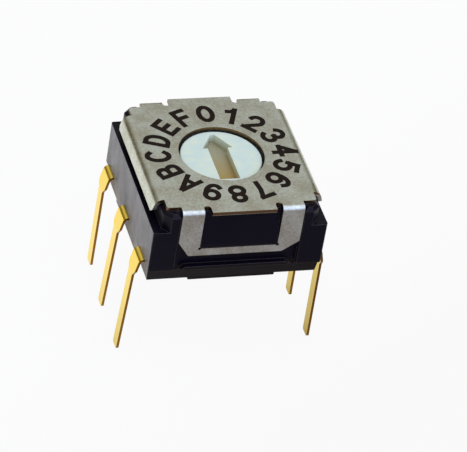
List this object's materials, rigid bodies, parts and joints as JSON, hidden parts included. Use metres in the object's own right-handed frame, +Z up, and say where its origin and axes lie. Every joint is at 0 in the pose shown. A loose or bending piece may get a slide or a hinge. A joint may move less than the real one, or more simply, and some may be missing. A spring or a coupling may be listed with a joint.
{
  "type": "rotary dip switch",
  "caption": "Square board-mounted rotary coded switch with a folded metal cover, a lettered dial round an arrow-slot rotor, and two rows of flat pins.",
  "frame": {"origin": "on the rotor's axis, in the plane of the circuit board that the standoff pad rests on", "axes": "+X to the right hand row of terminals, +Y to the dial's zero, where the arrow points at rest, +Z up out of the dial"},
  "size_m": [0.0079, 0.0072, 0.0072],
  "materials": {
    "housing_plastic": "glass filled PBT, moulded black, satin",
    "cover_metal": "stainless steel sheet, stamped and folded, satin, dial printed dark brown",
    "rotor_plastic": "polyamide, moulded white, satin",
    "contact_metal": "copper alloy, gold plated",
    "seal_rubber": "silicone rubber, black",
    "spring_steel": "stainless spring steel strip",
    "terminal_metal": "copper alloy strip, gold plated, bright"
  },
  "bodies": {
    "body": {"housing": "housing_plastic", "cover": "cover_metal", "detent_spring_left": "spring_steel", "detent_spring_right": "spring_steel", "terminal_1": "terminal_metal", "terminal_2": "terminal_metal", "terminal_4": "terminal_metal", "terminal_8": "terminal_metal", "terminal_common": "terminal_metal", "contact_spring_1": "contact_metal", "contact_spring_2": "contact_metal", "contact_spring_4": "contact_metal", "contact_spring_8": "contact_metal", "contact_spring_common": "contact_metal"},
    "dial": {"rotor": "rotor_plastic", "code_disc": "contact_metal", "o_ring": "seal_rubber"}
  },
  "joints": [
    {"name": "rotor_turn", "type": "hinge", "parent": "body", "child": "dial", "pos_m": [0, 0, 0], "axis": [0, 0, 1], "continuous": true}
  ]
}
